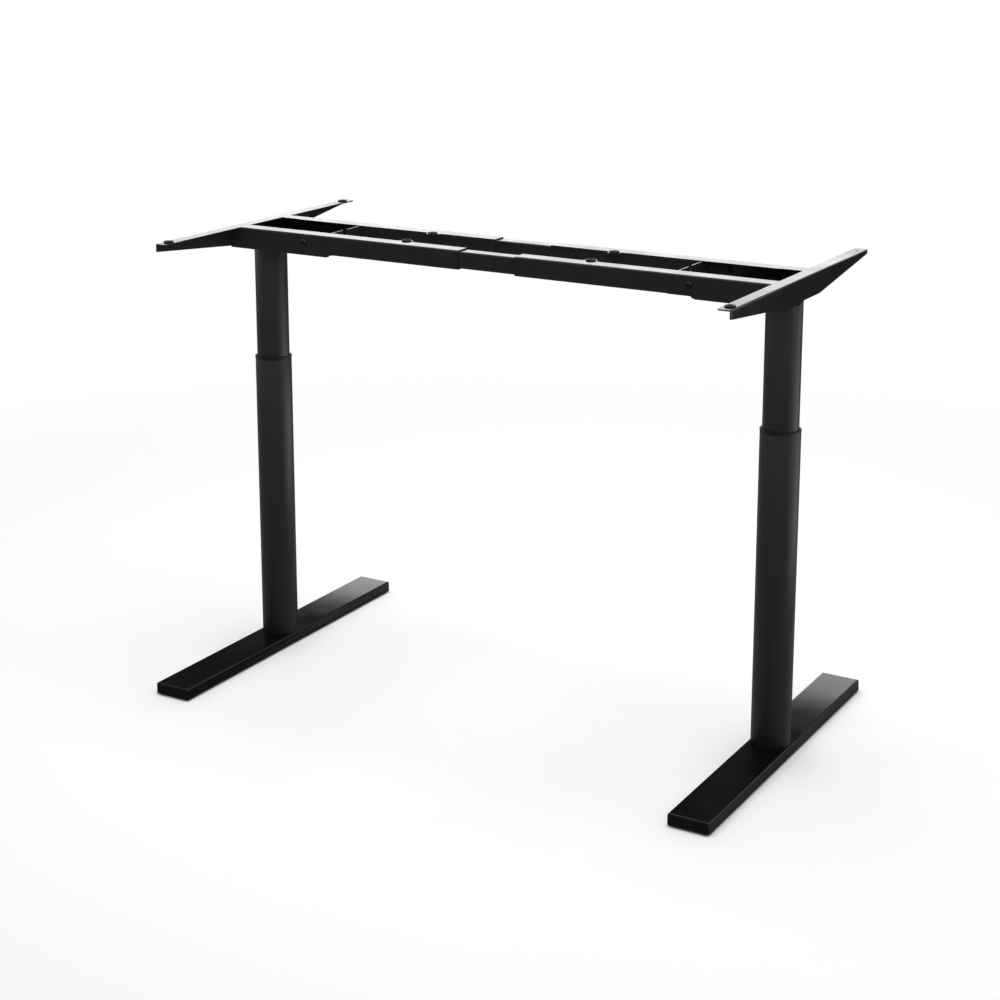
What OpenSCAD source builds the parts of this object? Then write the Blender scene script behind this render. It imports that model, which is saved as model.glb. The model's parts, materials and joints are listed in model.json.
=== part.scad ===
// Two-column height-adjustable desk frame, shown part way up its travel.
// X runs along the desk, Y from front to back, Z up from the floor.
// The right-hand parts are drawn; the left-hand ones are their mirror images.

/* [Frame] */
// Distance between the two column axes
column_spacing = 1150; // [1120:5:1300]
// Height of the rail and bracket tops above the floor
frame_h = 925; // [915:1:980]
// Distance from a column axis out to the bracket's outer face
bracket_reach = 37; // [36:0.5:60]
// Visible gap between the left and right rails, bridged by the inserts
middle_gap = 126; // [20:2:240]

/* [Travel] */
// How far the columns retract from the height shown
drop = 200; // [150:1:205]
// How far the columns extend from the height shown
rise = 240; // [180:1:245]

/* [Foot] */
// Length of the foot from front to back
foot_len = 740; // [500:5:800]
// Width of the foot at its lower edge
foot_w = 82; // [80:1:120]
// Height of the foot shell
foot_h = 21.5; // [17:0.5:30]
// How much each side leans in towards the top
foot_draft = 1.5; // [0:0.1:2]
// Sheet thickness of the foot shell
foot_wall = 2.5; // [1.5:0.1:3]
// Radius along the foot's top edges
foot_edge_r = 3; // [1:0.5:5]
// Radius of the foot's corners seen from above
foot_corner_r = 6; // [2:0.5:12]
// Gap between the foot's lower edge and the floor
foot_stand = 3; // [2:0.5:8]
// Thickness of the plate that closes the foot from below
foot_cover_t = 1.5; // [1:0.1:2.5]

/* [Levellers] */
// Distance from a leveller's axis to the end of the foot
leveller_inset = 55; // [35:1:90]
// Diameter of the leveller's disc
leveller_disc_d = 38; // [20:1:50]
// Diameter of the leveller's threaded stud
stud_d = 8; // [6:1:10]
// Length of the stud above its disc
stud_len = 15; // [13:0.5:15.5]
// Height of the nut that the stud runs in
leveller_nut_h = 7; // [5:0.5:9]
// Diameter of the nut measured across its corners
leveller_nut_d = 16; // [14:0.5:20]

/* [Columns] */
// Outer diameter of the lower tube
lower_d = 76; // [76:0.5:80]
// Outer diameter of the upper tube
upper_d = 68; // [66:0.5:68]
// Wall of both tubes
tube_wall = 2; // [1.5:0.1:2.2]
// Height of the lower tube's top above the floor
lower_top = 636; // [560:1:650]
// Thickness of the plate welded into the lower tube's foot
base_plate_t = 6; // [4:0.5:8]
// Diameter of the circle on which the base screws stand
base_screw_circle = 50; // [46:0.5:54]
// Diameter of the base screws
base_screw_d = 8; // [6:1:8]
// Diameter of the base screws' heads
base_head_d = 13; // [11:0.5:14]
// Height of the base screws' heads
base_head_h = 6; // [4:0.5:8]
// Space left under the upper tube when the columns are fully down
tube_clear = 12; // [8:0.5:20]
// Height of the ring that caps the lower tube
collar_h = 4; // [2:0.5:12]
// How far the cap ring stands out beyond the lower tube
collar_proud = 0.5; // [0.2:0.1:1]
// Length of the liner below the cap ring
liner_len = 45; // [20:1:90]
// Height of the sliding sleeve on the upper tube's lower end
glide_h = 60; // [30:1:90]
// Thickness of the lip below the upper tube's end
glide_lip = 3; // [2:0.5:6]
// Width of the slots in the sliding sleeve
glide_slot_w = 8; // [4:0.5:12]

/* [Drive] */
// Diameter of the motor's can
motor_d = 58; // [40:1:60]
// Length of the motor with its mounting flange
motor_len = 110; // [80:1:112]
// Thickness of the motor's mounting flange
motor_flange_t = 5; // [3:0.5:8]
// Diameter of the gearbox under the motor
gearbox_d = 56; // [40:1:60]
// Length of the gearbox
gearbox_len = 42; // [30:1:43]
// Depth of the spindle's seat in the gearbox
spindle_seat = 20; // [10:1:26]
// Outer diameter of the thrust bearing
bearing_d = 32; // [30:1:40]
// Height of the thrust bearing
bearing_h = 10; // [6:0.5:11]
// Diameter of the lifting spindle
spindle_d = 14; // [10:1:16]
// Space left under the spindle when the columns are fully down
spindle_clear = 3; // [1:0.5:6]
// Length of spindle left below the nut when the columns are fully up
thread_spare = 6; // [2:0.5:8]
// Diameter of the collar that carries the spindle's load
spindle_collar_d = 24; // [20:1:28]
// Height of the spindle's collar
spindle_collar_h = 8; // [5:0.5:9]
// Outer diameter of the post that carries the nut
post_d = 30; // [28:1:34]
// Wall of the post
post_wall = 4; // [2:0.5:4.5]
// Height of the spindle nut
nut_h = 30; // [20:1:32]
// Diameter of the nut above its flange
nut_d = 26; // [22:1:30]
// Diameter of the nut's flange
nut_flange_d = 36; // [34:1:44]
// Thickness of the nut's flange
nut_flange_t = 8; // [5:0.5:10]
// Diameter of the circle on which the motor screws stand
motor_screw_circle = 44; // [36:0.5:48]
// Diameter of the motor screws
motor_screw_d = 5; // [4:0.5:6]
// Diameter of the motor screws' heads
motor_head_d = 9; // [8:0.5:11]
// Height of the motor screws' heads
motor_head_h = 3; // [2:0.5:5]
// Outer diameter of the cable gland on the head plate
gland_d = 18; // [12:1:24]
// Diameter of the gland's neck in the head plate
gland_neck_d = 14; // [10:0.5:16]
// Height of the cable gland
gland_h = 9; // [5:0.5:14]
// Bore of the cable gland
gland_bore = 8; // [4:0.5:10]

/* [Rails] */
// Depth of the rail frame between the outer faces of both rails
rail_frame_w = 176; // [160:1:200]
// Width of a rail
rail_w = 34; // [32:0.5:40]
// Height of a rail
rail_depth = 38; // [36:0.5:50]
// Sheet thickness of rails and inserts
rail_sheet = 2; // [1.5:0.1:2.5]
// Outer radius of the sheet's bends
bend_r = 3; // [2.6:0.1:5]
// Height of a rail's web at the column
skirt_depth = 43; // [42:0.5:60]
// Length of the ramp where the deeper web begins
skirt_ramp = 11; // [5:0.5:20]
// Distance from the left column axis to the start of the left front rail's deeper web
left_skirt = 215; // [150:1:260]
// Distance from a column axis to the start of the deeper web on the other rails
right_skirt = 148; // [146:1:260]
// Length of the relief in the back rail's top flange
relief_len = 45; // [10:1:60]
// Width of that relief
relief_w = 2.5; // [0.5:0.5:5]

/* [Inserts] */
// How far an insert reaches into each rail
insert_engage = 237; // [160:1:250]
// Distance from a rail's open end to its lock screw
lock_setback = 35; // [15:1:80]
// Diameter of the lock screws
lock_d = 6; // [4:0.5:8]
// Diameter of the lock screws' heads
lock_head_d = 9; // [8.5:0.5:14]

/* [Table fixing] */
// Distance from a rail's open end to the middle of its lug
lug_setback = 142; // [80:1:200]
// Diameter of the lugs
lug_d = 25; // [22:0.5:32]
// Diameter of the holes for the screws into the table top
screw_hole_d = 7; // [5:0.5:8]
// Diameter of the rubber pads
pad_d = 20; // [14:0.5:22]
// Height of the rubber pads
pad_h = 2.5; // [1.5:0.5:5]
// Distance from a rail's inner side to the middle of its lug
lug_reach = 6; // [5.5:0.5:9]
// Radius of the hollow corners where a lug joins its rail
lug_fillet = 5; // [2:0.5:8]

/* [Head] */
// Thickness of the plate that the column hangs from
head_plate_t = 4; // [3:0.5:5]
// Distance from a column axis to the transverse plate
cross_setback = 190; // [160:1:260]
// Thickness of the transverse plate
cross_t = 2.5; // [1.5:0.1:4]
// Width of the cable notch in the transverse plate
notch_w = 14; // [8:0.5:40]
// Depth of the cable notch
notch_depth = 12; // [5:0.5:20]
// Thickness of the corner angles
angle_t = 2.5; // [2:0.1:4]
// Height of the corner angles
angle_h = 24; // [18:0.5:26]
// Length of an angle's leg along the rail
angle_leg_x = 46; // [46:0.5:60]
// Length of an angle's leg across the rail
angle_leg_y = 28; // [26:0.5:32]
// Distance from the transverse plate to the rail bolt
rail_bolt_setback = 38; // [20:0.5:40]
// Distance from the rail's top to the rail bolt
rail_bolt_drop = 17; // [15:0.5:22]
// Diameter of the rail bolts
rail_bolt_d = 8; // [6:0.5:8]
// Diameter of the rail bolts' heads
rail_head_d = 14; // [12:0.5:17]
// Height of the rail bolts' heads
rail_head_h = 3.5; // [2:0.5:5]
// Height of the nuts on the rail bolts
rail_nut_h = 5; // [4:0.5:8]

/* [Side bracket] */
// Length of the side bracket from front to back
bracket_len = 650; // [560:5:760]
// Width of the bracket's top flange
bracket_flange = 26; // [22:0.5:32]
// Sheet thickness of the bracket
bracket_sheet = 2.5; // [2:0.1:3]
// Radius of the flange's corners seen from above
bracket_corner_r = 6; // [2:0.5:10]
// Height of the web at the front tip
web_front_tip = 17; // [12:0.5:30]
// Height of the web at its deepest place
web_deep = 47; // [47:0.5:70]
// Height of the web behind the column
web_mid = 42; // [40:0.5:60]
// Height of the web at the back tip
web_back_tip = 8; // [6:0.5:30]
// Radius of the web's corner at its tips
web_tip_r = 5; // [2:0.5:5.5]
// Distance from the middle forward to the web's deepest place
deep_y = 25; // [10:1:60]
// Length of the step behind the deepest place
deep_step = 28; // [10:1:60]
// Distance from the middle back to the start of the rear slope
slope_y = 75; // [60:1:160]
// Distance from the bracket's outer face to its screw holes
hole_inset_x = 13; // [11:0.5:15]
// Distance from the bracket's tips to its screw holes
hole_inset_y = 27; // [14:0.5:80]
// Diameter of the studs welded inside the bracket
bracket_stud_d = 6; // [4:0.5:8]
// Diameter of those studs' nuts across their corners
bracket_nut_d = 12; // [10:0.5:14]
// Height of those nuts
bracket_nut_h = 5; // [3:0.5:7]
// How far a stud stands out of its nut
stud_spare = 2; // [1:0.5:4]

/* [Fits] */
// Gap between parts that slide past each other
slide_gap = 0.3; // [0.2:0.05:0.5]
// Radial gap of a shaft or thread in its hole
run_gap = 0.05; // [0.02:0.01:0.1]
// Gap where a part is set into another and fixed
set_gap = 0.1; // [0.05:0.05:0.2]
// Radial gap of a bolt in its hole
bolt_gap = 0.25; // [0.1:0.05:0.4]

/* [Hidden] */
$fn = 64;
hex_sides = 6;
arc_steps = 5;
cut = 1; // overrun of every cut beyond the faces that it opens

steel_black = "#232426";
part_black = "#141415";
zinc = "#a9adb0";
bronze = "#9a7a3c";

column_x = column_spacing / 2;
outer_x = column_x + bracket_reach;
foot_top = foot_stand + foot_h;
base_top = foot_top + base_plate_t;
collar_top = lower_top + collar_h;

rail_y = rail_frame_w / 2;
rail_start = middle_gap / 2;
rail_end = outer_x - bracket_sheet;
rail_bottom = frame_h - rail_depth;
skirt_bottom = frame_h - skirt_depth;
rail_inner_y = rail_y - rail_w;
bracket_edge_x = outer_x - bracket_flange;

head_bottom = skirt_bottom + rail_sheet / 2;
head_top = head_bottom + head_plate_t;
head_start = column_x - right_skirt + bend_r;
cross_x = column_x - cross_setback;
rail_bolt_x = cross_x + cross_t + rail_bolt_setback;
rail_bolt_z = frame_h - rail_bolt_drop;
lock_y = -rail_y + rail_w / 2;
lock_cone = rail_sheet * 3 / 4;
bracket_stud_y = -rail_y + rail_sheet + angle_t + angle_leg_y / 2;

motor_bottom = head_bottom - motor_len;
gearbox_bottom = motor_bottom - gearbox_len;
bearing_bottom = gearbox_bottom - bearing_h;
spindle_top = gearbox_bottom + spindle_seat;
spindle_collar_top = bearing_bottom - slide_gap;
spindle_bottom = foot_top + spindle_clear + drop;
nut_bottom = spindle_bottom + rise + thread_spare;
upper_bottom = base_top + tube_clear + drop;

insert_half = rail_start + insert_engage;
insert_top = frame_h - rail_sheet - slide_gap;
insert_depth = rail_depth - 2 * (rail_sheet + slide_gap);
insert_y = rail_y - rail_sheet - slide_gap;
insert_w = rail_w - 2 * (rail_sheet + slide_gap);

lug_x = rail_start + lug_setback;
lug_y = rail_inner_y - lug_reach;
hole_x = outer_x - hole_inset_x;
hole_y = bracket_len / 2 - hole_inset_y;

side_names = ["left", "right"];
side_parts = [
    "foot_shell", "foot_cover", "leveller_nuts", "front_leveller", "back_leveller",
    "column_base_plate", "base_screws", "lower_tube", "collar", "nut_post", "spindle_nut",
    "spindle", "upper_tube", "glide_sleeve", "head_plate", "motor", "gearbox",
    "thrust_bearing", "motor_screws", "cable_gland", "front_rail", "back_rail",
    "cross_plate", "corner_angles", "rail_bolts", "side_bracket", "bracket_studs",
    "table_pads", "lock_screws"
];

// Points of an arc about c, from angle a0 to a1
function arc(c, r, a0, a1) =
    [for (i = [0 : arc_steps]) c + r * [cos(a0 + (a1 - a0) * i / arc_steps), sin(a0 + (a1 - a0) * i / arc_steps)]];

// A smooth step from p to q, level at both ends
function ramp(p, q) =
    [for (i = [0 : arc_steps])
        [p[0] + (q[0] - p[0]) * i / arc_steps, p[1] + (q[1] - p[1]) * (1 - cos(180 * i / arc_steps)) / 2]];

// Extrudes an outline drawn in Y and Z along X
module along_x(x0, x1) {
    translate([x0, 0, 0])
        rotate([90, 0, 90])
            linear_extrude(height = x1 - x0)
                children();
}

// Extrudes an outline drawn in X and Z along Y
module along_y(y0, y1) {
    translate([0, y1, 0])
        rotate([90, 0, 0])
            linear_extrude(height = y1 - y0)
                children();
}

// Extrudes an outline drawn in X and Y along Z
module along_z(z0, z1) {
    translate([0, 0, z0])
        linear_extrude(height = z1 - z0)
            children();
}

// A round bar or hole of radius r that stands between two heights
module post(r, z0, z1) {
    translate([0, 0, z0])
        cylinder(r = r, h = z1 - z0);
}

module box(x0, x1, y0, y1, z0, z1) {
    translate([x0, y0, z0])
        cube([x1 - x0, y1 - y0, z1 - z0]);
}

module rounded_rect(w, l, r) {
    square([w - 2 * r, l], center = true);
    square([w, l - 2 * r], center = true);
    for (x = [-1, 1], y = [-1, 1])
        translate([x * (w / 2 - r), y * (l / 2 - r)])
            circle(r = r);
}

module at_column() {
    translate([column_x, 0, 0])
        children();
}

// Four places on a circle about the column axis, between its X and Y directions
module four_round(circle_d) {
    for (i = [0 : 3])
        rotate([0, 0, 45 + 90 * i])
            translate([circle_d / 2, 0, 0])
                children();
}

module front_and_back() {
    children();
    mirror([0, 1, 0])
        children();
}

module at_levellers() {
    front_and_back()
        translate([0, leveller_inset - foot_len / 2, 0])
            children();
}

// Section of the foot: flat top with rounded edges and sides that lean in
module foot_section(base) {
    top = base / 2 - foot_draft;
    polygon(concat(
        [[-base / 2, foot_stand]],
        arc([-top + foot_edge_r, foot_top - foot_edge_r], foot_edge_r, 180, 90),
        arc([top - foot_edge_r, foot_top - foot_edge_r], foot_edge_r, 90, 0),
        [[base / 2, foot_stand]]
    ));
}

module foot_pocket(z0, z1, gap) {
    side = foot_wall + foot_draft + gap;
    along_z(z0, z1)
        rounded_rect(foot_w - 2 * side, foot_len - 2 * side, foot_corner_r - foot_wall);
}

module foot_shell() {
    color(steel_black) at_column()
        difference() {
            intersection() {
                along_y(-foot_len / 2, foot_len / 2)
                    foot_section(foot_w);
                along_x(-foot_w / 2, foot_w / 2)
                    foot_section(foot_len);
                along_z(foot_stand, foot_top)
                    rounded_rect(foot_w, foot_len, foot_corner_r);
            }
            foot_pocket(foot_stand - cut, foot_top - foot_wall, 0);
            four_round(base_screw_circle)
                post(base_screw_d / 2 + bolt_gap, foot_stand, foot_top + cut);
        }
}

module foot_cover() {
    color(steel_black) at_column()
        difference() {
            foot_pocket(foot_stand, foot_stand + foot_cover_t, set_gap);
            four_round(base_screw_circle)
                post(base_head_d / 2 + foot_wall, foot_stand - cut, foot_top);
            at_levellers()
                post(stud_d / 2 + bolt_gap, foot_stand - cut, foot_top);
        }
}

module leveller_nuts() {
    nut_z = foot_stand + foot_cover_t;
    color(zinc) at_column()
        at_levellers()
            difference() {
                translate([0, 0, nut_z])
                    cylinder(d = leveller_nut_d, h = leveller_nut_h, $fn = hex_sides);
                post(stud_d / 2 + run_gap, nut_z - cut, nut_z + leveller_nut_h + cut);
            }
}

// A glide disc with a raised hub under the foot and a stud up into the nut
module leveller(direction) {
    disc_top = foot_stand - slide_gap;
    color(part_black) at_column()
        translate([0, direction * (foot_len / 2 - leveller_inset), 0]) {
            rotate_extrude()
                polygon(concat(
                    [[0, 0], [leveller_disc_d / 2 - disc_top / 2, 0]],
                    arc([leveller_disc_d / 2 - disc_top / 2, disc_top / 2], disc_top / 2, -90, 90),
                    [[0, disc_top]]
                ));
            post(stud_d / 2, disc_top / 2, disc_top + stud_len);
        }
}

module column_base_plate() {
    color(steel_black) at_column()
        difference() {
            post(lower_d / 2 - tube_wall - set_gap, foot_top, base_top);
            post(spindle_d / 2 + post_wall / 2, foot_top - cut, base_top + cut);
            four_round(base_screw_circle)
                post(base_screw_d / 2 + run_gap, foot_top - cut, base_top + cut);
        }
}

module base_screws() {
    head_top_z = foot_top - foot_wall;
    color(zinc) at_column()
        four_round(base_screw_circle)
            difference() {
                union() {
                    post(base_head_d / 2, head_top_z - base_head_h, head_top_z);
                    post(base_screw_d / 2, head_top_z - base_head_h / 2, base_top);
                }
                translate([0, 0, head_top_z - base_head_h - cut])
                    cylinder(d = base_head_d / 2, h = base_head_h / 2 + cut, $fn = hex_sides);
            }
}

module lower_tube() {
    color(steel_black) at_column()
        difference() {
            post(lower_d / 2, foot_top, lower_top);
            post(lower_d / 2 - tube_wall, foot_top - cut, lower_top + cut);
        }
}

// Cap ring on the lower tube with a liner that guides the upper tube
module collar() {
    inner = upper_d / 2 + slide_gap;
    outer = lower_d / 2 + collar_proud;
    soft = collar_h / 4;
    color(part_black) at_column()
        rotate_extrude()
            polygon(concat(
                [[inner, lower_top - liner_len], [lower_d / 2 - tube_wall - set_gap, lower_top - liner_len],
                 [lower_d / 2 - tube_wall - set_gap, lower_top], [outer, lower_top]],
                arc([outer - soft, collar_top - soft], soft, 0, 90),
                arc([inner + soft, collar_top - soft], soft, 90, 180)
            ));
}

module nut_post() {
    color(zinc) at_column()
        difference() {
            post(post_d / 2, base_top, nut_bottom);
            post(post_d / 2 - post_wall, base_top - cut, nut_bottom + cut);
        }
}

module spindle_nut() {
    color(bronze) at_column()
        difference() {
            union() {
                post(nut_flange_d / 2, nut_bottom, nut_bottom + nut_flange_t);
                post(nut_d / 2, nut_bottom + nut_flange_t / 2, nut_bottom + nut_h);
            }
            post(spindle_d / 2 + run_gap, nut_bottom - cut, nut_bottom + nut_h + cut);
        }
}

module spindle() {
    color(zinc) at_column() {
        post(spindle_d / 2, spindle_bottom, spindle_top);
        post(spindle_collar_d / 2, spindle_collar_top - spindle_collar_h, spindle_collar_top);
    }
}

module upper_tube() {
    color(steel_black) at_column()
        difference() {
            post(upper_d / 2, upper_bottom, head_bottom);
            post(upper_d / 2 - tube_wall, upper_bottom - cut, head_bottom + cut);
        }
}

// Sliding sleeve on the upper tube's lower end, slotted so that it can spring
module glide_sleeve() {
    inner = upper_d / 2 + set_gap;
    outer = lower_d / 2 - tube_wall - slide_gap;
    color(part_black) at_column()
        difference() {
            rotate_extrude()
                polygon([
                    [inner, upper_bottom], [inner, upper_bottom + glide_h],
                    [outer, upper_bottom + glide_h], [outer, upper_bottom - glide_lip],
                    [upper_d / 2 - tube_wall, upper_bottom - glide_lip],
                    [upper_d / 2 - tube_wall, upper_bottom]
                ]);
            for (i = [0 : 3])
                rotate([0, 0, 90 * i])
                    box(0, lower_d, -glide_slot_w / 2, glide_slot_w / 2,
                        upper_bottom + glide_h / 3, upper_bottom + glide_h + cut);
        }
}

module head_plate() {
    color(steel_black) difference() {
        box(head_start, rail_end, -rail_y + rail_sheet, rail_y - rail_sheet, head_bottom, head_top);
        at_column() {
            post(gland_neck_d / 2 + set_gap, head_bottom - cut, head_top + cut);
            four_round(motor_screw_circle)
                post(motor_screw_d / 2 + bolt_gap, head_bottom - cut, head_top + cut);
        }
    }
}

module motor() {
    color(zinc) at_column()
        difference() {
            union() {
                post(upper_d / 2 - tube_wall - set_gap, head_bottom - motor_flange_t, head_bottom);
                post(motor_d / 2, motor_bottom, head_bottom - motor_flange_t / 2);
            }
            four_round(motor_screw_circle)
                post(motor_screw_d / 2 + run_gap, head_bottom - motor_flange_t, head_bottom + cut);
        }
}

module gearbox() {
    color(zinc) at_column()
        difference() {
            post(gearbox_d / 2, gearbox_bottom, motor_bottom);
            post(spindle_d / 2 + run_gap, gearbox_bottom - cut, spindle_top + spindle_seat / 4);
        }
}

module thrust_bearing() {
    color(zinc) at_column()
        difference() {
            post(bearing_d / 2, bearing_bottom, gearbox_bottom);
            post(spindle_d / 2 + run_gap, bearing_bottom - cut, gearbox_bottom + cut);
        }
}

module motor_screws() {
    color(zinc) at_column()
        four_round(motor_screw_circle)
            difference() {
                union() {
                    post(motor_head_d / 2, head_top, head_top + motor_head_h);
                    post(motor_screw_d / 2, head_bottom - motor_flange_t / 2, head_top + motor_head_h / 2);
                }
                translate([0, 0, head_top + motor_head_h / 2])
                    cylinder(d = motor_head_d / 2, h = motor_head_h, $fn = hex_sides);
            }
}

module cable_gland() {
    color(part_black) at_column()
        difference() {
            union() {
                post(gland_d / 2, head_top, head_top + gland_h / 2);
                post(gland_neck_d / 2, head_bottom, head_top + gland_h);
            }
            post(gland_bore / 2, head_bottom - cut, head_top + gland_h + cut);
        }
}

// Section of a rectangular tube in Y and Z. Its outer top corner is at p.
module box_section(p, w, depth, sheet) {
    difference() {
        translate([p[0] + w / 2, p[1] - depth / 2])
            rounded_rect(w, depth, bend_r);
        translate([p[0] + w / 2, p[1] - depth / 2])
            rounded_rect(w - 2 * sheet, depth - 2 * sheet, bend_r - sheet);
    }
}

// Section of a folded top and outer wall in Y and Z. Its outer top corner is at p.
module angle_section(p, w, depth, sheet) {
    inner_r = bend_r - sheet;
    polygon(concat(
        [[p[0] + w, p[1]]],
        arc([p[0] + bend_r, p[1] - bend_r], bend_r, 90, 180),
        [[p[0], p[1] - depth], [p[0] + sheet, p[1] - depth]],
        arc([p[0] + bend_r, p[1] - bend_r], inner_r, 180, 90),
        [[p[0] + w, p[1] - sheet]]
    ));
}

// Hollow corner between a lug's disc and the rail's straight side. The disc's middle is at the origin.
module lug_corner() {
    side = lug_d / 2 + lug_fillet;
    drop_y = lug_fillet - lug_reach;
    reach = sqrt(side * side - drop_y * drop_y);
    touch = lug_d / 2 / side;
    root = -lug_reach - bend_r;
    difference() {
        polygon([[0, root], [reach, root], [reach, -lug_reach], [reach * touch, drop_y * touch]]);
        translate([reach, drop_y])
            circle(r = lug_fillet);
    }
}

// Round tab on the rail's inner side for a table screw
module lug() {
    translate([lug_x, -lug_y, 0])
        along_z(frame_h - rail_sheet, frame_h) {
            circle(d = lug_d);
            lug_corner();
            mirror([1, 0])
                lug_corner();
        }
}

// A shape turned about the place of a flush screw in the box's lower wall
module at_lock() {
    translate([rail_start + lock_setback, lock_y, rail_bottom])
        rotate_extrude()
            children();
}

// Front rail of the right side: a box as far as the cross plate, then an angle whose
// outer wall grows deeper from skirt_start to the bracket
module rail(skirt_start) {
    corner = [-rail_y, frame_h];
    wall_start = min(skirt_start, cross_x) - bend_r;
    color(steel_black) difference() {
        union() {
            along_x(rail_start, rail_end)
                angle_section(corner, rail_w, rail_depth * 2 / 3, rail_sheet);
            along_x(rail_start, cross_x - set_gap)
                difference() {
                    box_section(corner, rail_w, rail_depth, rail_sheet);
                    translate([-rail_y - cut, frame_h - rail_depth / 2])
                        square([rail_w / 2 + cut, rail_depth / 2 + cut]);
                }
            along_y(-rail_y, -rail_y + rail_sheet)
                polygon(concat(
                    [[wall_start, frame_h - rail_depth / 2], [wall_start, rail_bottom]],
                    ramp([skirt_start, rail_bottom], [skirt_start + skirt_ramp, skirt_bottom]),
                    [[rail_end, skirt_bottom], [rail_end, frame_h - rail_depth / 2]]
                ));
            lug();
        }
        translate([lug_x, -lug_y, 0])
            post(screw_hole_d / 2, frame_h - rail_sheet - cut, frame_h + cut);
        box(bracket_edge_x, outer_x, -rail_y - cut, -rail_inner_y + cut, frame_h - bracket_sheet, frame_h + cut);
        translate([rail_bolt_x, -rail_y - cut, rail_bolt_z])
            rotate([-90, 0, 0])
                cylinder(r = rail_bolt_d / 2 + bolt_gap, h = rail_sheet + 2 * cut);
        at_lock()
            polygon([
                [0, -cut], [lock_head_d / 2 + run_gap, -cut], [lock_head_d / 2 + run_gap, 0],
                [lock_d / 2 + run_gap, lock_cone], [lock_d / 2 + run_gap, rail_sheet + cut], [0, rail_sheet + cut]
            ]);
    }
}

module back_rail(skirt_start) {
    color(steel_black) mirror([0, 1, 0])
        difference() {
            rail(skirt_start);
            box(bracket_edge_x - relief_len, bracket_edge_x + cut, -rail_inner_y - relief_w,
                -rail_inner_y + cut, frame_h - rail_sheet - cut, frame_h + cut);
        }
}

// Plate across the rail frame, with a cable notch in its upper edge
module cross_plate() {
    wide = rail_y - rail_sheet - set_gap;
    narrow = rail_inner_y - set_gap;
    low = rail_bottom + rail_sheet;
    shoulder = frame_h - rail_sheet - set_gap;
    high = frame_h - rail_sheet / 2;
    color(steel_black) along_x(cross_x, cross_x + cross_t)
        difference() {
            polygon([
                [-wide, low + bend_r], [-wide + bend_r, low], [wide - bend_r, low], [wide, low + bend_r],
                [wide, shoulder - bend_r], [wide - bend_r, shoulder], [narrow, shoulder], [narrow, high],
                [-narrow, high], [-narrow, shoulder], [-wide + bend_r, shoulder], [-wide, shoulder - bend_r]
            ]);
            translate([-notch_w / 2, high - notch_depth + notch_w / 2])
                square([notch_w, notch_depth]);
            translate([0, high - notch_depth + notch_w / 2])
                circle(d = notch_w);
        }
}

// Angles that tie the front rail to the cross plate and to the side bracket
module corner_pair() {
    face_y = -rail_y + rail_sheet;
    z0 = rail_bolt_z - angle_h / 2;
    z1 = rail_bolt_z + angle_h / 2;
    start = cross_x + cross_t;
    difference() {
        union() {
            box(start, start + angle_leg_x, face_y, face_y + angle_t, z0, z1);
            box(start, start + angle_t, face_y, face_y + angle_leg_y, z0, z1);
        }
        translate([rail_bolt_x, face_y - cut, rail_bolt_z])
            rotate([-90, 0, 0])
                cylinder(r = rail_bolt_d / 2 + bolt_gap, h = angle_t + 2 * cut);
    }
    difference() {
        union() {
            box(rail_end - angle_leg_x, rail_end, face_y, face_y + angle_t, z0, z1 - bracket_sheet);
            box(rail_end - angle_t, rail_end, face_y, face_y + angle_leg_y, z0, z1 - bracket_sheet);
        }
        translate([rail_end - angle_t - cut, bracket_stud_y, rail_bolt_z])
            rotate([0, 90, 0])
                cylinder(r = bracket_stud_d / 2 + run_gap, h = angle_t + 2 * cut);
    }
}

module corner_angles() {
    color(steel_black) front_and_back()
        corner_pair();
}

// Button-headed bolts through the rails' webs, with nuts inside
module rail_bolts() {
    nut_y = -rail_y + rail_sheet + angle_t;
    color(part_black) front_and_back()
        translate([rail_bolt_x, 0, rail_bolt_z]) {
            difference() {
                translate([0, -rail_y, 0])
                    rotate([90, 0, 0])
                        rotate_extrude()
                            polygon(concat(
                                [[0, 0], [rail_head_d / 2, 0]],
                                arc([rail_head_d / 2 - rail_head_h, 0], rail_head_h, 0, 90),
                                [[0, rail_head_h]]
                            ));
                translate([0, -rail_y - rail_head_h / 2, 0])
                    rotate([90, 0, 0])
                        cylinder(d = rail_head_d / 3, h = rail_head_h, $fn = hex_sides);
            }
            translate([0, -rail_y, 0])
                rotate([-90, 0, 0])
                    cylinder(d = rail_bolt_d, h = rail_sheet + angle_t + rail_nut_h);
            translate([0, nut_y, 0])
                rotate([-90, 0, 0])
                    cylinder(d = rail_head_d, h = rail_nut_h, $fn = hex_sides);
        }
}

// Bracket section drawn in X and Z: top flange towards the column, web outside
module bracket_section() {
    inner_r = bend_r - bracket_sheet;
    polygon(concat(
        [[bracket_edge_x, frame_h]],
        arc([outer_x - bend_r, frame_h - bend_r], bend_r, 90, 0),
        [[outer_x, frame_h - web_deep - cut], [outer_x - bracket_sheet, frame_h - web_deep - cut]],
        arc([outer_x - bend_r, frame_h - bend_r], inner_r, 0, 90),
        [[bracket_edge_x, frame_h - bracket_sheet]]
    ));
}

// Side view of the bracket drawn in Y and Z, shallow at the tips and deep at the column
module bracket_outline() {
    half = bracket_len / 2;
    polygon(concat(
        [[-half, frame_h + cut]],
        arc([-half + web_tip_r, frame_h - web_front_tip + web_tip_r], web_tip_r, 180, 270),
        ramp([-deep_y, frame_h - web_deep], [-deep_y + deep_step, frame_h - web_mid]),
        [[slope_y, frame_h - web_mid]],
        arc([half - web_tip_r, frame_h - web_back_tip + web_tip_r], web_tip_r, 270, 360),
        [[half, frame_h + cut]]
    ));
}

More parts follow.
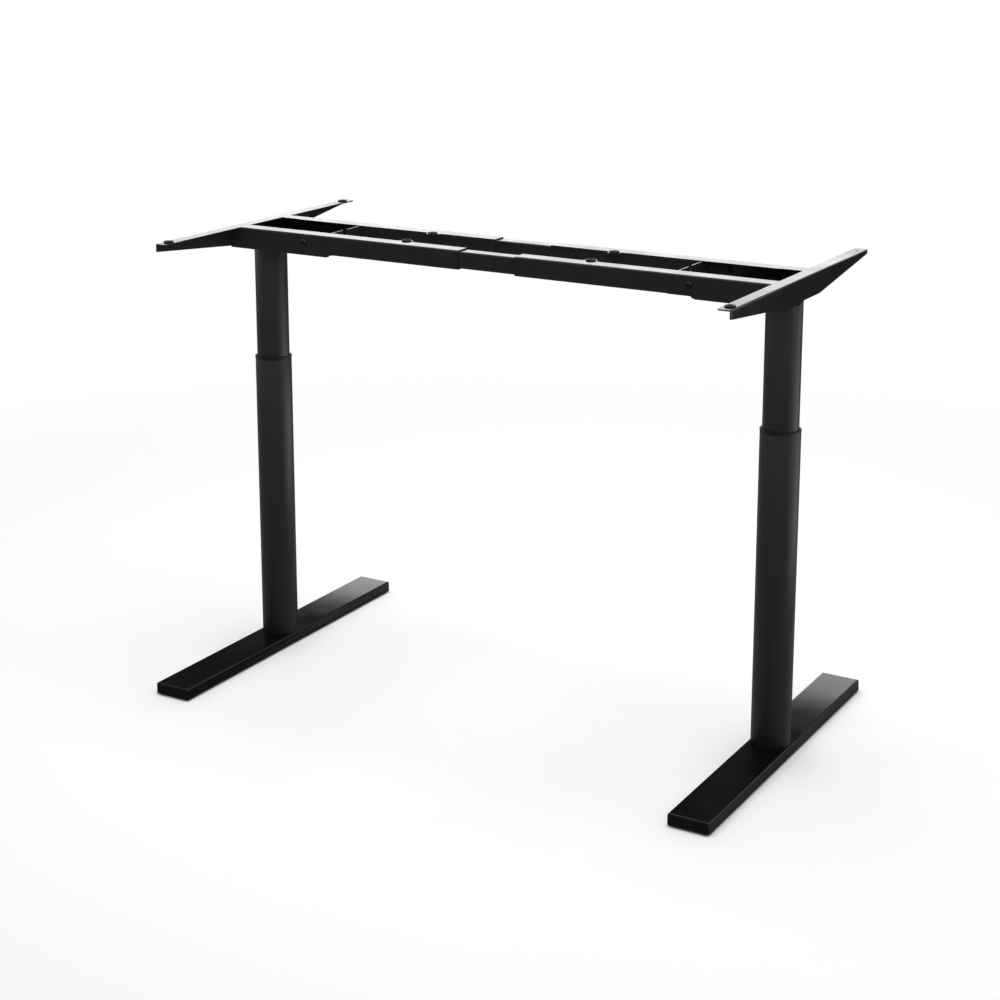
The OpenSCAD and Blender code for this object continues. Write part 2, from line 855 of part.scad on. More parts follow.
module side_bracket() {
    color(steel_black) difference() {
        intersection() {
            along_y(-bracket_len / 2, bracket_len / 2)
                bracket_section();
            along_x(bracket_edge_x, outer_x)
                bracket_outline();
            translate([outer_x - bracket_flange / 2, 0, 0])
                along_z(frame_h - web_deep - cut, frame_h + cut)
                    rounded_rect(bracket_flange, bracket_len, bracket_corner_r);
        }
        for (y = [-1, 1])
            translate([hole_x, y * hole_y, 0])
                post(screw_hole_d / 2, frame_h - bracket_sheet - cut, frame_h + cut);
    }
}

// Studs welded inside the bracket's web, with the nuts that hold it to the end angles
module bracket_studs() {
    nut_x = rail_end - angle_t - bracket_nut_h;
    color(zinc) front_and_back()
        translate([nut_x, bracket_stud_y, rail_bolt_z])
            rotate([0, 90, 0]) {
                cylinder(d = bracket_nut_d, h = bracket_nut_h, $fn = hex_sides);
                translate([0, 0, -stud_spare])
                    cylinder(d = bracket_stud_d, h = stud_spare + bracket_nut_h + angle_t);
            }
}

// A rubber ring with rounded edges round a table screw's hole
module pad() {
    soft = pad_h / 3;
    translate([0, 0, frame_h])
        rotate_extrude()
            polygon(concat(
                [[screw_hole_d / 2, 0], [pad_d / 2, 0]],
                arc([pad_d / 2 - soft, pad_h - soft], soft, 0, 90),
                arc([screw_hole_d / 2 + soft, pad_h - soft], soft, 90, 180)
            ));
}

// Pads on the two lugs and on the bracket's tips. back_tip says whether the back tip has one.
module table_pads(back_tip) {
    color(part_black) {
        for (y = [-1, 1])
            translate([lug_x, y * lug_y, 0])
                pad();
        for (y = back_tip ? [-1, 1] : [-1])
            translate([hole_x, y * hole_y, 0])
                pad();
    }
}

// Screws flush with the rails' lower faces that clamp the inserts
module lock_screws() {
    color(part_black) front_and_back()
        difference() {
            at_lock()
                polygon([
                    [0, 0], [lock_head_d / 2, 0], [lock_d / 2, lock_cone], [lock_d / 2, rail_sheet], [0, rail_sheet]
                ]);
            translate([rail_start + lock_setback, lock_y, rail_bottom - cut])
                cylinder(d = lock_head_d / 2, h = rail_sheet / 2 + cut, $fn = hex_sides);
        }
}

module insert() {
    color(steel_black) along_x(-insert_half, insert_half)
        box_section([-insert_y, insert_top], insert_w, insert_depth, rail_sheet);
}

module front_insert() {
    insert();
}

module back_insert() {
    mirror([0, 1, 0])
        insert();
}

// One piece of a side by its name. Only the front rail and the pads differ between the sides.
module side_part(part, is_left) {
    if (part == "foot_shell") foot_shell();
    if (part == "foot_cover") foot_cover();
    if (part == "leveller_nuts") leveller_nuts();
    if (part == "front_leveller") leveller(-1);
    if (part == "back_leveller") leveller(1);
    if (part == "column_base_plate") column_base_plate();
    if (part == "base_screws") base_screws();
    if (part == "lower_tube") lower_tube();
    if (part == "collar") collar();
    if (part == "nut_post") nut_post();
    if (part == "spindle_nut") spindle_nut();
    if (part == "spindle") spindle();
    if (part == "upper_tube") upper_tube();
    if (part == "glide_sleeve") glide_sleeve();
    if (part == "head_plate") head_plate();
    if (part == "motor") motor();
    if (part == "gearbox") gearbox();
    if (part == "thrust_bearing") thrust_bearing();
    if (part == "motor_screws") motor_screws();
    if (part == "cable_gland") cable_gland();
    if (part == "front_rail") rail(column_x - (is_left ? left_skirt : right_skirt));
    if (part == "back_rail") back_rail(column_x - right_skirt);
    if (part == "cross_plate") cross_plate();
    if (part == "corner_angles") corner_angles();
    if (part == "rail_bolts") rail_bolts();
    if (part == "side_bracket") side_bracket();
    if (part == "bracket_studs") bracket_studs();
    if (part == "table_pads") table_pads(is_left);
    if (part == "lock_screws") lock_screws();
}

for (p = side_parts) {
    mirror([1, 0, 0]) side_part(p, true);
    side_part(p, false);
}
front_insert();
back_insert();
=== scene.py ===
"""Black steel desk frame on two telescopic columns, standing in a white studio."""
import json
import math

import bmesh
import bpy
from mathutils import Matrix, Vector


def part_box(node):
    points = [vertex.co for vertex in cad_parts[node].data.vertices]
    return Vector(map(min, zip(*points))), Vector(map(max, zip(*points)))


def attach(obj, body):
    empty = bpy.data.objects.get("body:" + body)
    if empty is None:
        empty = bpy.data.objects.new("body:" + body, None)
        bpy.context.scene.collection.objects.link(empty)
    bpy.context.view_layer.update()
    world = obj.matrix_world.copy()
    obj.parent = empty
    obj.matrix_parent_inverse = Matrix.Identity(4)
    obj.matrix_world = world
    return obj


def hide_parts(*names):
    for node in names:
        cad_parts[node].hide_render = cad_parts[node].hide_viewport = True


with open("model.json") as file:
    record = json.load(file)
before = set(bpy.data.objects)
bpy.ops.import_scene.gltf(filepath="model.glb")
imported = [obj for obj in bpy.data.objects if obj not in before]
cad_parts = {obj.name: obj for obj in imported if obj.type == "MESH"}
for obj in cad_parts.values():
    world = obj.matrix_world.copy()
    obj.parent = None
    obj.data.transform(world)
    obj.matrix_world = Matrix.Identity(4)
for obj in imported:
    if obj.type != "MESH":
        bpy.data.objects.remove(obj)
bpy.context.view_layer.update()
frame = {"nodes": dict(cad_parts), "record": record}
nodes = frame["nodes"]

MM = 0.001

# Camera, matched to the columns, feet, rails and brackets in the photograph
CAMERA_PLACE = (1.8975, -3.2733, 1.6135)
CAMERA_YAW = math.radians(30.36)
CAMERA_PITCH = math.radians(12.73)
SENSOR_WIDTH = 36.0
FOCAL_IN_FRAMES = 1.9798
FRAME_SHIFT = -0.17

# Desk frame, as in the CAD model
FRAME_TOP = 925 * MM
RAIL_Y = 88 * MM
RAIL_WIDTH = 34 * MM
RAIL_BOTTOM = 887 * MM
RAIL_START = 63 * MM
RAIL_BOLT_X = 425.5 * MM
LOCK_SETBACK = 35 * MM
LUG_X = 205 * MM
LUG_Y = 48 * MM
TABLE_HOLE = (599 * MM, 298 * MM)
END_ANGLE_X = 607 * MM
STUD_Y = 69.5 * MM
BOLT_Z = 908 * MM
COLUMN_X = 575 * MM
UPPER_TUBE_RADIUS = 34 * MM
HEAD_BOTTOM = 883 * MM
HEAD_TOP = 887 * MM
SPINDLE_RADIUS = 7 * MM
SPINDLE_COLLAR = (12 * MM, 712.7 * MM, 720.7 * MM)
THREAD_LEAD = 12 * MM
THREAD_STARTS = 2
THREAD_DEPTH = 1.2 * MM

# Studio, in metres
FLOOR_RADIUS = 14.0
FLOOR_GAP = 0.0005
FLOOR_FADE = (1.2, 3.0)  # from the shadowed floor to plain white

STEPS = 48  # points round a turned piece
SEAM = 0.002 * MM  # CAD points closer than this are one
EDGE_BREAK = 0.35 * MM
RIB_DEPTH = 0.6 * MM
WELD_RIPPLES, WELD_STEPS = 96, 8
WELD_THICK = (1.9 * MM, 2.2 * MM)
ROUND, HEX, RIBBED = range(3)
SIDES = {"left": -1, "right": 1}


def srgb(code):
    """Linear colour of an sRGB hex value."""
    parts = [int(code[i:i + 2], 16) / 255 for i in (1, 3, 5)]
    return tuple(c / 12.92 if c <= 0.04045 else ((c + 0.055) / 1.055) ** 2.4 for c in parts) + (1.0,)


def add_node(tree, kind, settings=None, links=None):
    """Adds a node, sets its properties or inputs, and links its inputs to other nodes' outputs."""
    made = tree.nodes.new(kind)
    for name, value in (settings or {}).items():
        if isinstance(name, str) and hasattr(made, name):
            setattr(made, name, value)
        else:
            made.inputs[name].default_value = value
    for name, source in (links or {}).items():
        tree.links.new(source, made.inputs[name])
    return made


def surface(name, colour, metallic=0.0, roughness=0.5, ior=None):
    """A material with one Principled shader. Metals keep the default IOR."""
    material = bpy.data.materials.new(name)
    material.use_nodes = True
    shader = material.node_tree.nodes["Principled BSDF"]
    shader.inputs["Base Color"].default_value = srgb(colour)
    shader.inputs["Metallic"].default_value = metallic
    shader.inputs["Roughness"].default_value = roughness
    if ior:
        shader.inputs["IOR"].default_value = ior
    material.diffuse_color = srgb(colour)
    return material, material.node_tree, shader


def grain(tree, shader, size, height, stretch=(1, 1, 1)):
    """Raised grain of a real size, as bump on a material's shader."""
    place = add_node(tree, "ShaderNodeTexCoord")
    scaled = add_node(tree, "ShaderNodeMapping", {"Scale": stretch}, {"Vector": place.outputs["Object"]})
    noise = add_node(tree, "ShaderNodeTexNoise", {"Scale": 1 / size, "Detail": 2.0},
                     {"Vector": scaled.outputs["Vector"]})
    relief = add_node(tree, "ShaderNodeBump", {"Distance": height, "Strength": 1.0},
                      {"Height": noise.outputs["Fac"]})
    tree.links.new(relief.outputs["Normal"], shader.inputs["Normal"])


def uneven_gloss(tree, shader, size, low, high):
    """Roughness that wanders between two values over patches of a real size."""
    place = add_node(tree, "ShaderNodeTexCoord")
    noise = add_node(tree, "ShaderNodeTexNoise", {"Scale": 1 / size, "Detail": 3.0},
                     {"Vector": place.outputs["Object"]})
    spread = add_node(tree, "ShaderNodeMapRange",
                      {"From Min": 0.3, "From Max": 0.7, "To Min": low, "To Max": high},
                      {"Value": noise.outputs["Fac"]})
    tree.links.new(spread.outputs["Result"], shader.inputs["Roughness"])


def black_powder_coat():
    """Polyester powder baked on steel: smooth black with a faint orange peel, 2 mm from crest to crest."""
    material, tree, shader = surface("black_powder_coat", "#222325", 0.0, 0.15, 1.25)
    grain(tree, shader, 2.0 * MM, 0.012 * MM)
    uneven_gloss(tree, shader, 60 * MM, 0.13, 0.18)
    return material


def shade_darkened_glossy_powder_coat():
    """The same powder on the feet, glossier, and painted a deeper black than elsewhere as painted shade on the
    feet's tops and fronts.
    """
    # 0a0a0b is painted shade: the #222325 powder of the rails darkened for the feet
    material, tree, shader = surface("shade_darkened_glossy_powder_coat", "#0a0a0b", 0.0, 0.12, 1.22)
    grain(tree, shader, 2.0 * MM, 0.006 * MM)
    uneven_gloss(tree, shader, 60 * MM, 0.11, 0.15)
    return material


def satin_powder_coat():
    """A satin flow of the same powder on the round tubes: a softer, lighter black without mirror images."""
    material, tree, shader = surface("satin_powder_coat", "#1d1e20", 0.0, 0.36, 1.3)
    grain(tree, shader, 2.0 * MM, 0.012 * MM)
    uneven_gloss(tree, shader, 60 * MM, 0.33, 0.39)
    return material


def black_moulded_nylon():
    """Nylon moulded in an eroded tool: matt black, its fine pebble drawn coarser than the real 0.3 mm to show."""
    material, tree, shader = surface("black_moulded_nylon", "#08080a", 0.0, 0.42, 1.3)
    grain(tree, shader, 0.8 * MM, 0.04 * MM)
    return material


def black_moulded_rubber():
    """Solid rubber from a mould: dull deep black."""
    material, tree, shader = surface("black_moulded_rubber", "#060607", 0.0, 0.6, 1.3)
    grain(tree, shader, 1.2 * MM, 0.03 * MM)
    return material


def bright_zinc():
    """Zinc plated on turned steel: bluish silver with faint turning marks."""
    material, tree, shader = surface("bright_zinc", "#c3c7ca", 1.0, 0.32)
    grain(tree, shader, 4.0 * MM, 0.01 * MM, (0.2, 0.2, 6.0))
    uneven_gloss(tree, shader, 15 * MM, 0.26, 0.38)
    return material


def black_zinc():
    """Black passivated zinc on steel bolts: dark grey metal, slightly glossy."""
    material, tree, shader = surface("black_zinc", "#2c2d30", 1.0, 0.36)
    uneven_gloss(tree, shader, 8 * MM, 0.32, 0.42)
    return material


def drawn_steel_can():
    """Deep-drawn, zinc-plated motor and gearbox shells: soft grey metal with fine lines along the draw."""
    material, tree, shader = surface("drawn_steel_can", "#9b9fa2", 1.0, 0.38)
    grain(tree, shader, 3.0 * MM, 0.01 * MM, (4.0, 4.0, 0.1))
    return material


def turned_bronze():
    """Bearing bronze turned on a lathe: warm yellow-brown metal with fine rings."""
    material, tree, shader = surface("turned_bronze", "#b48a4a", 1.0, 0.3)
    grain(tree, shader, 2.0 * MM, 0.01 * MM, (0.2, 0.2, 6.0))
    return material


# Finishes of the record's slots, and of the CAD nodes whose names end as given; the foot shells' one is darkened
# with painted shade
FINISHES = {
    "powder_coat": black_powder_coat(),
    "black_plastic": black_moulded_nylon(),
    "pad_rubber": black_moulded_rubber(),
    "zinc_steel": bright_zinc(),
    "black_steel": black_zinc(),
    "motor_steel": drawn_steel_can(),
    "bronze": turned_bronze(),
}
SHAPE_FINISHES = {"tube": satin_powder_coat(), "foot_shell": shade_darkened_glossy_powder_coat()}
SLOTS = {part["node"]: part["material_slot"] for part in frame["record"]["subparts"]}


def set_modifier(thing, name, kind, **settings):
    """Adds a modifier with the given settings."""
    made = thing.modifiers.new(name, kind)
    for key, value in settings.items():
        setattr(made, key, value)


def dress_cad_nodes():
    """Gives every CAD node its finish, and its sheet and tube ends a small rounded edge that catches light."""
    for name, thing in nodes.items():
        thing.data.materials.clear()
        special = [finish for ending, finish in SHAPE_FINISHES.items() if name.endswith(ending)]
        thing.data.materials.append(special[0] if special else FINISHES[SLOTS[name]])
        set_modifier(thing, "join_seams", "WELD", merge_threshold=SEAM)
        set_modifier(thing, "flat_faces", "DECIMATE", decimate_type="DISSOLVE", angle_limit=math.radians(0.5))
        set_modifier(thing, "broken_edges", "BEVEL", width=EDGE_BREAK, segments=2, limit_method="ANGLE",
                     angle_limit=math.radians(40), harden_normals=True)


def body_of_node(node):
    """The record's body that holds a node."""
    return next(body for body, held in frame["record"]["behaviour"]["bodies"].items() if node in held)


def add_piece(name, mesh, node, replaced=True, slot=None):
    """Makes an object of a bmesh, in place of a CAD node or beside it, with that node's body and finish."""
    bmesh.ops.recalc_face_normals(mesh, faces=mesh.faces)
    data = bpy.data.meshes.new(name)
    mesh.to_mesh(data)
    mesh.free()
    data.shade_smooth()
    data.set_sharp_from_angle(angle=math.radians(38))
    piece = bpy.data.objects.new(name, data)
    bpy.context.scene.collection.objects.link(piece)
    slot_name = slot or SLOTS[node]
    data.materials.append(FINISHES[slot_name])
    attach(piece, body_of_node(node))
    if replaced:
        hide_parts(node)


def ring_point(kind, radius, height, step):
    """A point of a ring that is round, six-sided or ribbed round its edge."""
    turn = 2 * math.pi * step / STEPS
    if kind == HEX:
        radius *= math.cos(math.pi / 6) / math.cos(turn % (math.pi / 3) - math.pi / 6)
    if kind == RIBBED and step % 2:
        radius -= RIB_DEPTH
    return Vector((radius * math.cos(turn), radius * math.sin(turn), height))


def bend(start, end, steps=5):
    """Round rings along a quarter turn from one (radius, height) to another, steep first."""
    quarter = [math.pi / 2 * i / steps for i in range(steps + 1)]
    return [(ROUND, end[0] + (start[0] - end[0]) * math.cos(t), start[1] + (end[1] - start[1]) * math.sin(t))
            for t in quarter]


def turned(node, outline, places, hollow=False, slot=None):
    """Turned pieces in place of a CAD node.

    The outline is rings of (kind, radius, height) in mm, and the places are (origin, direction) in metres.
    A hollow outline is closed from its last ring to its first.
    """
    mesh = bmesh.new()
    for origin, direction in places:
        facing = Vector(direction).to_track_quat("Z", "Y").to_matrix().to_4x4()
        facing.translation = Vector(origin)
        rings = [[mesh.verts.new(facing @ ring_point(kind, radius * MM, height * MM, i)) for i in range(STEPS)]
                 for kind, radius, height in outline]
        pairs = list(zip(rings, rings[1:]))
        if hollow:
            pairs.append((rings[-1], rings[0]))
        else:
            mesh.faces.new(rings[0])
            mesh.faces.new(rings[-1])
        for low, high in pairs:
            for i in range(STEPS):
                j = (i + 1) % STEPS
                mesh.faces.new((low[i], low[j], high[j], high[i]))
    add_piece(node + "_detail", mesh, node, slot=slot)


def hex_nut(corner, low, high):
    """Rings of a nut or bolt head with chamfered corners."""
    chamfer = 0.08 * corner
    return [(ROUND, 0.85 * corner, low), (HEX, corner, low + chamfer), (HEX, corner, high - chamfer),
            (ROUND, 0.85 * corner, high)]


def socket(corner, mouth, floor):
    """Rings of a hex socket from its mouth down to its floor."""
    return [(HEX, 1.08 * corner, mouth), (HEX, corner, mouth - 0.15), (HEX, corner, floor)]


def screw_thread(crest, root, pitch, low, high):
    """Rings of a fine thread on a short stud."""
    rings = []
    for i in range(int((high - low) / pitch)):
        rings += [(ROUND, root, low + i * pitch), (ROUND, crest, low + (i + 0.5) * pitch)]
    return rings + [(ROUND, root, high)]


def make_rail_bolts(side):
    """Domed bolts with a hex socket outside the rail, and a washer and nut inside."""
    outline = [(ROUND, 3.2, -12.0)] + screw_thread(4.0, 3.5, 1.0, -11.5, -9.5)
    outline += hex_nut(7.0, -9.5, -5.4)
    outline += [(ROUND, 8.0, -5.4), (ROUND, 8.0, -4.5), (ROUND, 4.0, -4.5), (ROUND, 4.0, 0.0)]
    outline += [(ROUND, 6.8, 0.0), (ROUND, 7.0, 0.3)] + bend((7.0, 0.5), (3.7, 3.5)) + socket(2.7, 3.5, 1.2)
    places = [((SIDES[side] * RAIL_BOLT_X, y * RAIL_Y, BOLT_Z), (0, y, 0)) for y in (-1, 1)]
    turned(side + "_rail_bolts", outline, places)


def make_lock_screws(side):
    """Countersunk screws flush with the rails' lower faces."""
    outline = [(ROUND, 2.9, -2.0), (ROUND, 2.9, -1.5), (ROUND, 4.4, -0.1), (ROUND, 4.3, 0.0)]
    outline += socket(2.2, 0.0, -1.0)
    x = SIDES[side] * (RAIL_START + LOCK_SETBACK)
    places = [((x, y * (RAIL_Y - RAIL_WIDTH / 2), RAIL_BOTTOM), (0, 0, -1)) for y in (-1, 1)]
    turned(side + "_lock_screws", outline, places)


def make_bracket_studs(side):
    """Studs with a nut on the inner face of the end angles."""
    outline = [(ROUND, 3.0, -2.5), (ROUND, 3.0, 0.0), (ROUND, 7.0, 0.0), (ROUND, 7.0, 0.9)]
    outline += hex_nut(6.0, 0.9, 5.0) + screw_thread(3.0, 2.6, 1.0, 5.0, 7.0)
    places = [((SIDES[side] * END_ANGLE_X, y * STUD_Y, BOLT_Z), (-SIDES[side], 0, 0)) for y in (-1, 1)]
    turned(side + "_bracket_studs", outline, places, slot="black_steel")


def four_round(node, head, z, direction):
    """Places on the screw circle of a node whose box spans the heads of four screws."""
    low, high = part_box(node)
    middle = (low[0] + high[0]) / 2
    reach = (high[0] - low[0]) / 2 - head * MM
    return [((middle + x * reach, y * reach, z), (0, 0, direction)) for x in (-1, 1) for y in (-1, 1)]


def make_motor_screws(side):
    """Socket-headed screws on the head plate that hold the motor."""
    node = side + "_motor_screws"
    outline = [(ROUND, 2.5, -6.0), (ROUND, 2.5, 0.0), (ROUND, 4.4, 0.0), (ROUND, 4.5, 0.2)]
    outline += bend((4.5, 2.5), (4.0, 3.0), 3) + socket(2.2, 3.0, 1.4)
    turned(node, outline, four_round(node, 4.5, HEAD_TOP, 1))


def make_base_screws(side):
    """Socket-headed screws inside the foot that hold the column."""
    node = side + "_base_screws"
    low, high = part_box(node)
    seat = low[2] + 6 * MM
    outline = [(ROUND, 4.0, (seat - high[2]) / MM), (ROUND, 4.0, 0.0), (ROUND, 6.4, 0.0), (ROUND, 6.5, 0.2)]
    outline += bend((6.5, 5.4), (5.9, 6.0), 3) + socket(3.2, 6.0, 3.0)
    turned(node, outline, four_round(node, 6.5, seat, -1))


def make_table_pads(side):
    """Rubber rings round the table screws' holes, with a shallow groove in their tops."""
    outline = [(ROUND, 3.6, 0.0), (ROUND, 9.7, 0.0), (ROUND, 10.0, 0.3)] + bend((10.0, 1.5), (9.0, 2.5))
    outline += [(ROUND, 7.8, 2.5), (ROUND, 7.5, 2.1), (ROUND, 6.1, 2.1), (ROUND, 5.8, 2.5), (ROUND, 4.2, 2.5),
                (ROUND, 3.6, 1.9)]
    spots = [(LUG_X, -LUG_Y), (LUG_X, LUG_Y), (TABLE_HOLE[0], -TABLE_HOLE[1])]
    if side == "left":
        spots.append(TABLE_HOLE)
    turned(side + "_table_pads", outline, [((SIDES[side] * x, y, FRAME_TOP), (0, 0, 1)) for x, y in spots], True)


def make_levellers(side):
    """Glides with a ribbed edge for the fingers and a threaded stud."""
    for end in ("front", "back"):
        node = f"{side}_{end}_leveller"
        low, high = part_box(node)
        outline = [(ROUND, 17.4, 0.0), (ROUND, 18.3, 0.3), (RIBBED, 18.9, 0.8), (RIBBED, 18.9, 1.9),
                   (ROUND, 18.2, 2.7), (ROUND, 4.6, 2.7)]
        outline += screw_thread(4.0, 3.4, 1.25, 2.9, 17.0) + [(ROUND, 3.0, 17.7)]
        turned(node, outline, [(((low[0] + high[0]) / 2, (low[1] + high[1]) / 2, low[2]), (0, 0, 1))])


def make_leveller_nuts(side):
    """Hexagon nuts inside the foot, one above each leveller."""
    node = side + "_leveller_nuts"
    low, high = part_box(node)
    reach = (high[1] - low[1]) / 2 - 8 * math.cos(math.pi / 6) * MM
    outline = hex_nut(8.0, 0.0, 7.0)
    outline += [(ROUND, 4.4, 7.0), (ROUND, 4.05, 6.5), (ROUND, 4.05, 0.5), (ROUND, 4.4, 0.0)]
    middle = (low[0] + high[0]) / 2
    turned(node, outline, [((middle, y * reach, low[2]), (0, 0, 1)) for y in (-1, 1)], True)


def make_cable_gland(side):
    """Bushing with a hexagon, a ribbed cap nut and a soft lip where the motor's lead comes out."""
    node = side + "_cable_gland"
    low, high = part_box(node)
    outline = [(ROUND, 4.0, -4.0), (ROUND, 6.9, -4.0), (ROUND, 6.9, 0.0)] + hex_nut(9.0, 0.0, 4.5)
    outline += [(ROUND, 6.7, 4.5), (RIBBED, 7.2, 4.9), (RIBBED, 7.2, 7.6)] + bend((6.6, 8.0), (5.4, 9.0), 3)
    outline += [(ROUND, 4.6, 9.0), (ROUND, 4.0, 8.5)]
    turned(node, outline, [(((low[0] + high[0]) / 2, 0, HEAD_TOP), (0, 0, 1))], True)


def make_spindle(side):
    """Lifting spindle with a two-start trapezoidal thread below its collar."""
    node = side + "_spindle"
    low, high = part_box(node)
    collar_radius, collar_low, collar_high = SPINDLE_COLLAR
    pitch = THREAD_LEAD / THREAD_STARTS
    rings = int((collar_low - low[2] + THREAD_LEAD) / pitch * 4) + 2
    flanks = (0.0, 0.0, THREAD_DEPTH, THREAD_DEPTH)
    middle = (low[0] + high[0]) / 2
    shares = [2 * step / STEPS for step in range(STEPS // 2 + 1)]
    mesh = bmesh.new()

    def point(radius, share, z):
        turn = 2 * math.pi * share
        return mesh.verts.new((middle + radius * math.cos(turn), radius * math.sin(turn), z))

    grid = []
    for i in range(rings):
        start = low[2] - THREAD_LEAD + i / 4 * pitch
        heights = [min(max(start + share * THREAD_LEAD, low[2]), collar_low) for share in shares]
        grid.append([point(SPINDLE_RADIUS - flanks[i % 4], share, z) for share, z in zip(shares, heights)])
    for radius, z in ((collar_radius, collar_low), (collar_radius, collar_high), (SPINDLE_RADIUS, collar_high),
                      (SPINDLE_RADIUS, high[2])):
        grid.append([point(radius, share, z) for share in shares])
    for lower, upper in zip(grid, grid[1:]):
        for i in range(STEPS // 2):
            mesh.faces.new((lower[i], lower[i + 1], upper[i + 1], upper[i]))
    bmesh.ops.remove_doubles(mesh, verts=mesh.verts, dist=10 * SEAM)
    bmesh.ops.holes_fill(mesh, edges=[e for e in mesh.edges if e.is_boundary])
    add_piece(node + "_detail", mesh, node)


def make_weld_bead(side):
    """Rippled weld round the upper tube where it meets the head plate."""
    mesh = bmesh.new()
    rings = []
    for i in range(WELD_RIPPLES):
        turn = 2 * math.pi * i / WELD_RIPPLES
        thick = WELD_THICK[i % 2]
        ring = []
        for j in range(WELD_STEPS):
            lean = 2 * math.pi * j / WELD_STEPS
            reach = UPPER_TUBE_RADIUS + thick * math.cos(lean)
            ring.append(mesh.verts.new((SIDES[side] * COLUMN_X + reach * math.cos(turn), reach * math.sin(turn),
                                        HEAD_BOTTOM + thick * math.sin(lean))))
        rings.append(ring)
    for i in range(WELD_RIPPLES):
        here, there = rings[i], rings[(i + 1) % WELD_RIPPLES]
        for j in range(WELD_STEPS):
            k = (j + 1) % WELD_STEPS
            mesh.faces.new((here[j], there[j], there[k], here[k]))
    add_piece(side + "_head_weld", mesh, side + "_head_plate", replaced=False)


def make_floor():
    """A white floor that takes the frame's shadow, fades into the white round it and mirrors as a grey."""
    bpy.ops.mesh.primitive_circle_add(vertices=64, radius=FLOOR_RADIUS, fill_type="NGON",
                                      location=(0, 0, -FLOOR_GAP))
    floor = bpy.context.object
    floor.name = "studio_floor"
    material = bpy.data.materials.new("white_studio_floor")
    material.use_nodes = True
    tree = material.node_tree
    tree.nodes.clear()
    matt = add_node(tree, "ShaderNodeBsdfDiffuse", {"Color": srgb("#f8f8f8")})
    mirrored = add_node(tree, "ShaderNodeBsdfDiffuse", {"Color": srgb("#959595")})
    white = add_node(tree, "ShaderNodeEmission", {"Color": srgb("#ffffff"), "Strength": 1.0})
    place = add_node(tree, "ShaderNodeTexCoord")
    reach = add_node(tree, "ShaderNodeVectorMath", {"operation": "LENGTH"}, {0: place.outputs["Object"]})
    edge = add_node(tree, "ShaderNodeMapRange",
                    {"interpolation_type": "SMOOTHSTEP", "From Min": FLOOR_FADE[0], "From Max": FLOOR_FADE[1]},
                    {"Value": reach.outputs["Value"]})
    path = add_node(tree, "ShaderNodeLightPath")
    glow = add_node(tree, "ShaderNodeMath", {"operation": "MULTIPLY"},
                    {0: path.outputs["Is Camera Ray"], 1: edge.outputs["Result"]})
    near = add_node(tree, "ShaderNodeMixShader", {},
                    {0: glow.outputs["Value"], 1: matt.outputs[0], 2: white.outputs[0]})
    both = add_node(tree, "ShaderNodeMixShader", {},
                    {0: path.outputs["Is Glossy Ray"], 1: near.outputs[0], 2: mirrored.outputs[0]})
    add_node(tree, "ShaderNodeOutputMaterial", {}, {"Surface": both.outputs[0]})
    floor.data.materials.append(material)


def make_world():
    """White all round to the camera and in reflections, and a plain grey-white fill for everything else."""
    world = bpy.data.worlds.new("studio")
    bpy.context.scene.world = world
    world.use_nodes = True
    tree = world.node_tree
    tree.nodes.clear()
    path = add_node(tree, "ShaderNodeLightPath")
    fill = add_node(tree, "ShaderNodeBackground", {"Color": srgb("#ffffff"), "Strength": 0.5})
    white = add_node(tree, "ShaderNodeBackground", {"Color": srgb("#ffffff"), "Strength": 1.0})
    mirror_or_glass = add_node(tree, "ShaderNodeMath", {"operation": "MAXIMUM"},
                               {0: path.outputs["Is Glossy Ray"], 1: path.outputs["Is Transmission Ray"]})
    seen = add_node(tree, "ShaderNodeMath", {"operation": "MAXIMUM"},
                    {0: mirror_or_glass.outputs["Value"], 1: path.outputs["Is Camera Ray"]})
    both = add_node(tree, "ShaderNodeMixShader", {},
                    {0: seen.outputs["Value"], 1: fill.outputs[0], 2: white.outputs[0]})
    add_node(tree, "ShaderNodeOutputWorld", {}, {"Surface": both.outputs[0]})


def soft_light(name, place, aim, size, watts):
    """A rectangular softbox that the camera doesn't see."""
    lamp = bpy.data.lights.new(name, "AREA")
    lamp.shape = "RECTANGLE"
    lamp.size, lamp.size_y = size
    lamp.energy = watts
    box = bpy.data.objects.new(name, lamp)
    bpy.context.scene.collection.objects.link(box)
    box.location = place
    box.rotation_euler = (Vector(aim) - Vector(place)).to_track_quat("-Z", "Y").to_euler()
    box.visible_camera = False


def make_lights():
    """Softboxes: overhead, a low one behind that the top faces reflect, and one to the right."""
    middle = (0, 0, 0.6)
    soft_light("overhead_softbox", (0.0, 0.2, 3.4), middle, (3.6, 2.4), 88)
    soft_light("back_softbox", (-1.6, 3.6, 1.5), (-1.6, 0, 1.5), (5.0, 0.7), 26)
    soft_light("right_softbox", (3.4, -0.6, 1.2), middle, (0.8, 2.4), 8)


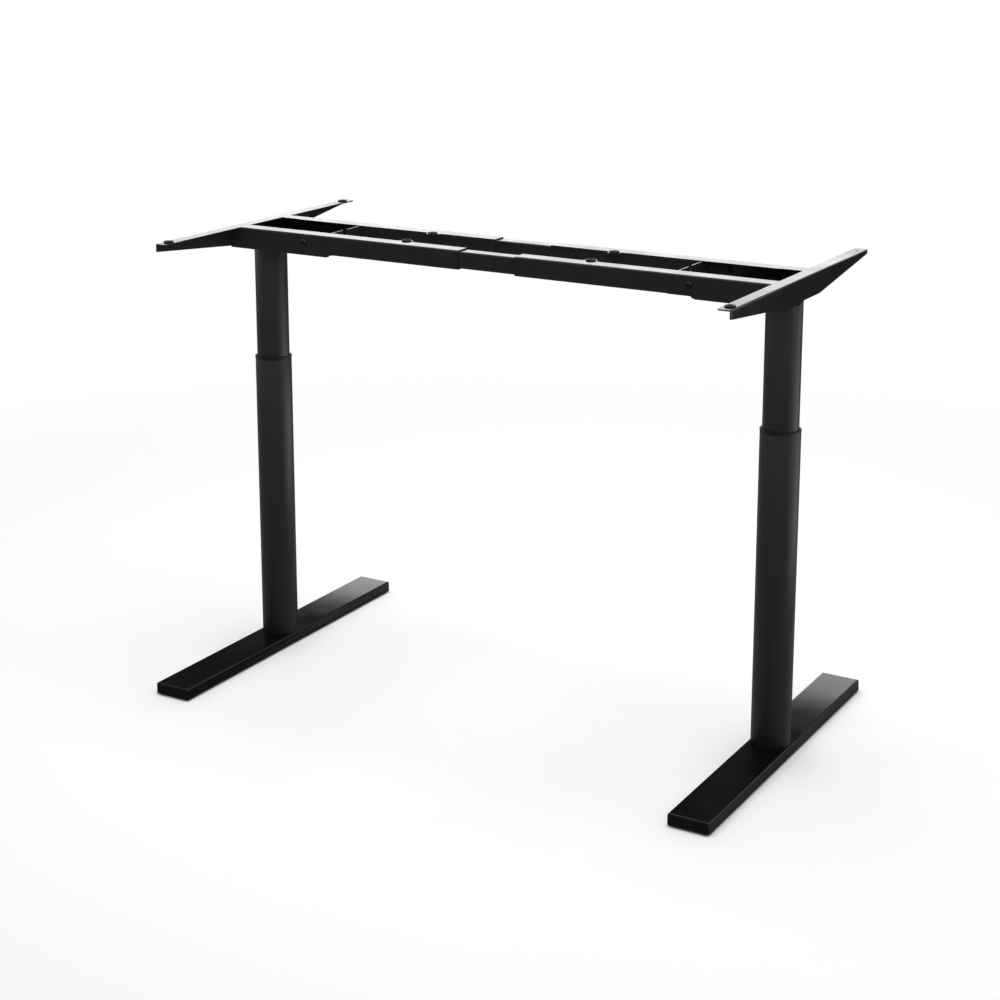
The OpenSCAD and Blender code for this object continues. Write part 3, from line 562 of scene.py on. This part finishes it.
def card(name, middle, size, strength, turn=(math.pi / 2, 0, 0)):
    """A one-sided upright board that only reflections see: black at strength 0, else white."""
    bpy.ops.mesh.primitive_plane_add(size=1, location=middle, rotation=turn)
    board = bpy.context.object
    board.name = name
    board.scale = (size[0], size[1], 1)
    material = bpy.data.materials.new(name)
    material.use_nodes = True
    tree = material.node_tree
    tree.nodes.clear()
    glow = add_node(tree, "ShaderNodeEmission", {"Color": srgb("#ffffff"), "Strength": strength})
    clear = add_node(tree, "ShaderNodeBsdfTransparent")
    side = add_node(tree, "ShaderNodeNewGeometry")
    both = add_node(tree, "ShaderNodeMixShader", {},
                    {0: side.outputs["Backfacing"], 1: glow.outputs[0], 2: clear.outputs[0]})
    add_node(tree, "ShaderNodeOutputMaterial", {}, {"Surface": both.outputs[0]})
    board.data.materials.append(material)
    board.visible_camera = board.visible_diffuse = board.visible_shadow = board.visible_transmission = False


def make_cards():
    """Boards for the reflections in glossy black: each darkens or lights the surfaces that it is named for."""
    facing_left = (math.pi / 2, 0, -math.pi / 2)
    card("black_card_for_foot_fronts", (-0.75, 1.2, 0.77), (4.5, 0.62), 0.0)
    card("white_card_for_foot_backs", (-1.0, 3.5, 1.15), (6.0, 0.56), 3.4)
    card("white_card_for_left_column", (0.3, 0.72, 0.28), (1.15, 0.54), 3.0, facing_left)
    card("white_card_for_right_column", (1.5, 0.7, 0.45), (1.4, 0.94), 2.4, facing_left)


def make_camera():
    """The photograph's camera, level across, with its frame shifted as a view camera's."""
    data = bpy.data.cameras.new("photo_view")
    data.sensor_width = SENSOR_WIDTH
    data.lens = SENSOR_WIDTH * FOCAL_IN_FRAMES
    data.shift_y = FRAME_SHIFT
    data.clip_start = 0.05
    camera = bpy.data.objects.new("photo_view", data)
    bpy.context.scene.collection.objects.link(camera)
    camera.location = CAMERA_PLACE
    camera.rotation_euler = (math.pi / 2 - CAMERA_PITCH, 0, CAMERA_YAW)
    bpy.context.scene.camera = camera


dress_cad_nodes()
for side_name in SIDES:
    for make in (make_rail_bolts, make_lock_screws, make_bracket_studs, make_motor_screws, make_base_screws,
                 make_table_pads, make_levellers, make_leveller_nuts, make_cable_gland, make_spindle,
                 make_weld_bead):
        make(side_name)
make_floor()
make_world()
make_lights()
make_cards()
make_camera()
bpy.context.scene.view_settings.view_transform = "Standard"
